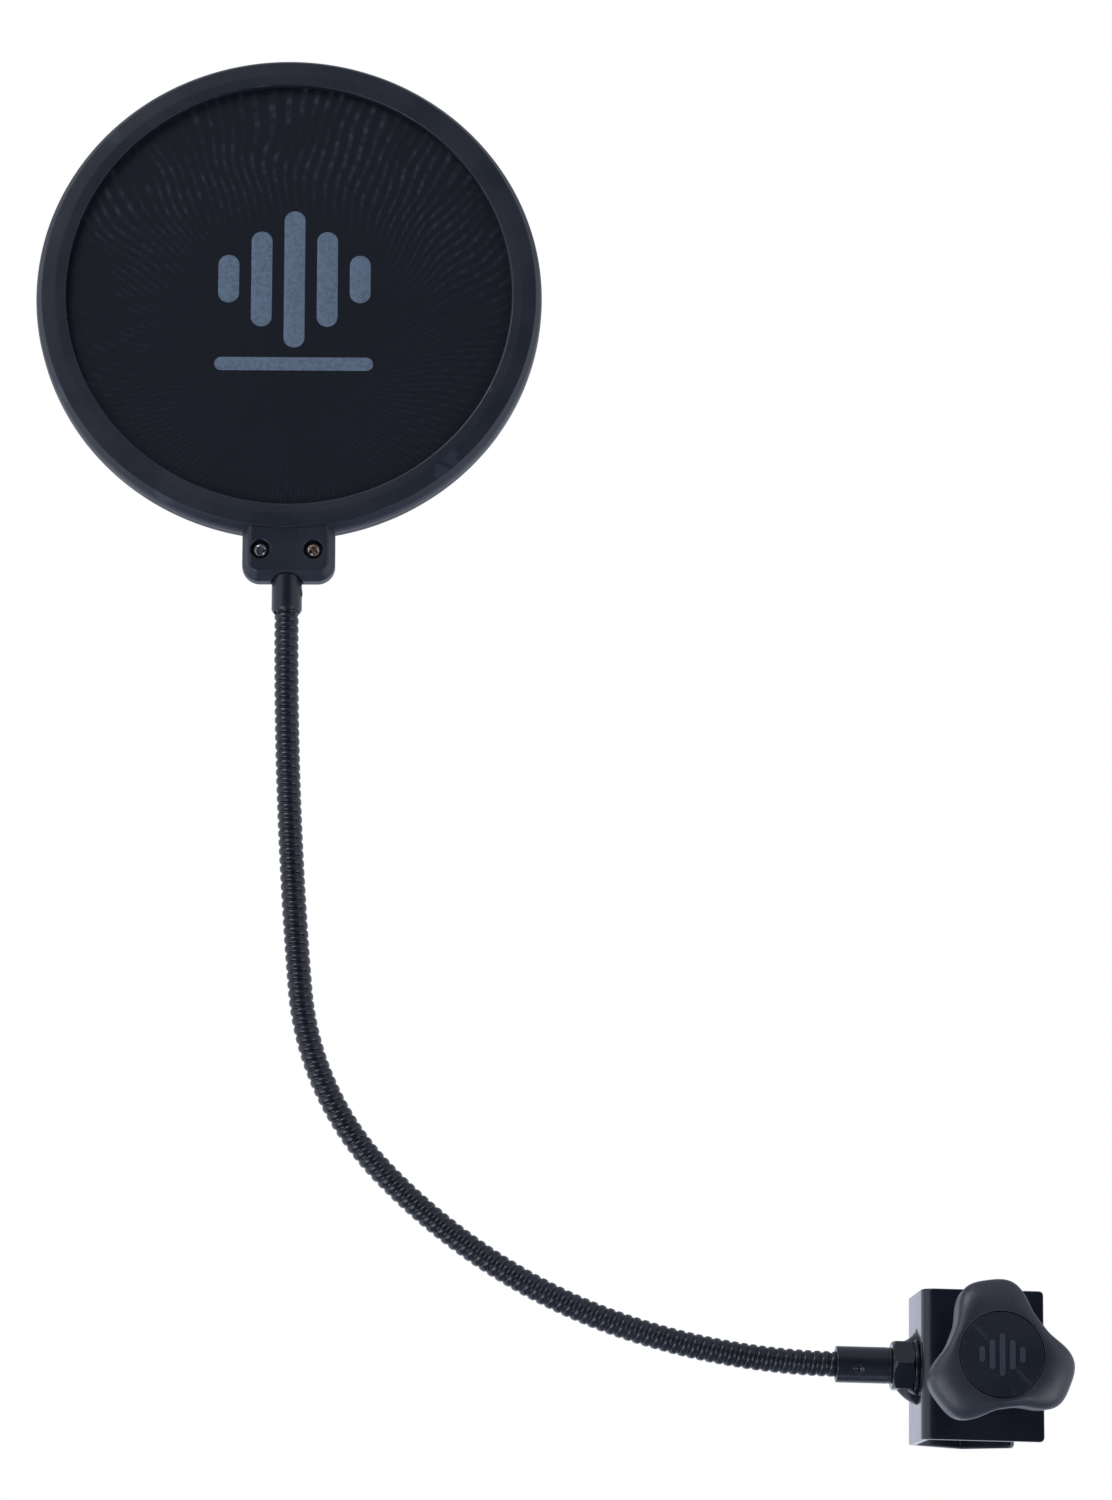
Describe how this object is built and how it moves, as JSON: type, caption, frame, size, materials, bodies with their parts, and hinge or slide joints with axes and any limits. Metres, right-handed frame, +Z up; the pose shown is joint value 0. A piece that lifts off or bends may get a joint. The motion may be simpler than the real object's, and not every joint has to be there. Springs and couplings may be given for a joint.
{
  "type": "pop filter",
  "caption": "Round double-screen pop filter on a flexible gooseneck, with a bent-steel clamp and lobed knob that grip a microphone stand tube.",
  "frame": {"origin": "on the axis of a 20 mm stand tube seated in the clamp's V jaw, at mid-height of the jaw", "axes": "+Z up along the stand tube, -Y towards the voice side of the screens and the clamp's knob, -X towards the hoop"},
  "size_m": [0.319, 0.0822, 0.4317],
  "materials": {
    "shell_plastic": "fine satin texture, black with a blue cast",
    "knob_plastic": "fine grained black plastic",
    "screen_nylon": "fine woven black nylon mesh, stretched flat",
    "painted_steel": "gloss black paint",
    "neck_steel": "gloss black plated steel wire and sleeves",
    "plain_steel": "zinc-plated steel",
    "foot_rubber": "matt black rubber"
  },
  "bodies": {
    "clamp": {"bracket": "painted_steel", "screw_nut": "plain_steel", "neck_nut": "painted_steel", "weld_bead": "painted_steel", "lower_ferrule": "neck_steel", "neck_link_1": "neck_steel"},
    "neck_2": {"neck_link_2": "neck_steel"},
    "neck_3": {"neck_link_3": "neck_steel"},
    "neck_4": {"neck_link_4": "neck_steel"},
    "neck_5": {"neck_link_5": "neck_steel"},
    "neck_6": {"neck_link_6": "neck_steel"},
    "neck_7": {"neck_link_7": "neck_steel"},
    "neck_8": {"neck_link_8": "neck_steel"},
    "head": {"neck_link_9": "neck_steel", "upper_ferrule": "neck_steel", "front_ring": "shell_plastic", "rear_ring": "shell_plastic", "front_screen": "screen_nylon", "rear_screen": "screen_nylon", "screen_spacer": "shell_plastic", "tab_screw_left": "plain_steel", "tab_screw_right": "plain_steel"},
    "foot": {"pressure_foot": "plain_steel", "foot_pad": "foot_rubber"},
    "knob": {"knob": "knob_plastic", "knob_cap": "knob_plastic", "clamp_screw": "plain_steel"}
  },
  "joints": [
    {"name": "neck_bend_1", "type": "hinge", "parent": "clamp", "child": "neck_2", "pos_m": [-0.06266, -0.0182, 0.00099], "axis": [0, 1, 0], "range_deg": [-45, 25]},
    {"name": "neck_swing_2", "type": "hinge", "parent": "neck_2", "child": "neck_3", "pos_m": [-0.10321, -0.0182, 0.00886], "axis": [0.2856, 0, 0.9583], "range_deg": [-30, 30]},
    {"name": "neck_bend_3", "type": "hinge", "parent": "neck_3", "child": "neck_4", "pos_m": [-0.14116, -0.0182, 0.02511], "axis": [0, 1, 0], "range_deg": [-45, 25]},
    {"name": "neck_swing_4", "type": "hinge", "parent": "neck_4", "child": "neck_5", "pos_m": [-0.17441, -0.0182, 0.04958], "axis": [0.6812, 0, 0.7321], "range_deg": [-30, 30]},
    {"name": "neck_bend_5", "type": "hinge", "parent": "neck_5", "child": "neck_6", "pos_m": [-0.19845, -0.0182, 0.08285], "axis": [0, 1, 0], "range_deg": [-45, 25]},
    {"name": "neck_swing_6", "type": "hinge", "parent": "neck_6", "child": "neck_7", "pos_m": [-0.20691, -0.0182, 0.12316], "axis": [0.9941, 0, 0.1087], "range_deg": [-30, 30]},
    {"name": "neck_bend_7", "type": "hinge", "parent": "neck_7", "child": "neck_8", "pos_m": [-0.21076, -0.0182, 0.16435], "axis": [0, 1, 0], "range_deg": [-45, 25]},
    {"name": "neck_swing_8", "type": "hinge", "parent": "neck_8", "child": "head", "pos_m": [-0.21334, -0.0182, 0.20564], "axis": [0.9989, 0, 0.0469], "range_deg": [-30, 30]},
    {"name": "foot_travel", "type": "slide", "parent": "clamp", "child": "foot", "axis": [0, 1, 0], "range_m": [-0.00625, 0.01375]},
    {"name": "knob_turn", "type": "hinge", "parent": "foot", "child": "knob", "pos_m": [0, -0.03, 0], "axis": [0, 1, 0], "range_deg": [-1801, 3961]}
  ],
  "couplings": [
    {"joint": "knob_turn", "follows": "foot_travel", "rad_per_m": 5026.5}
  ]
}
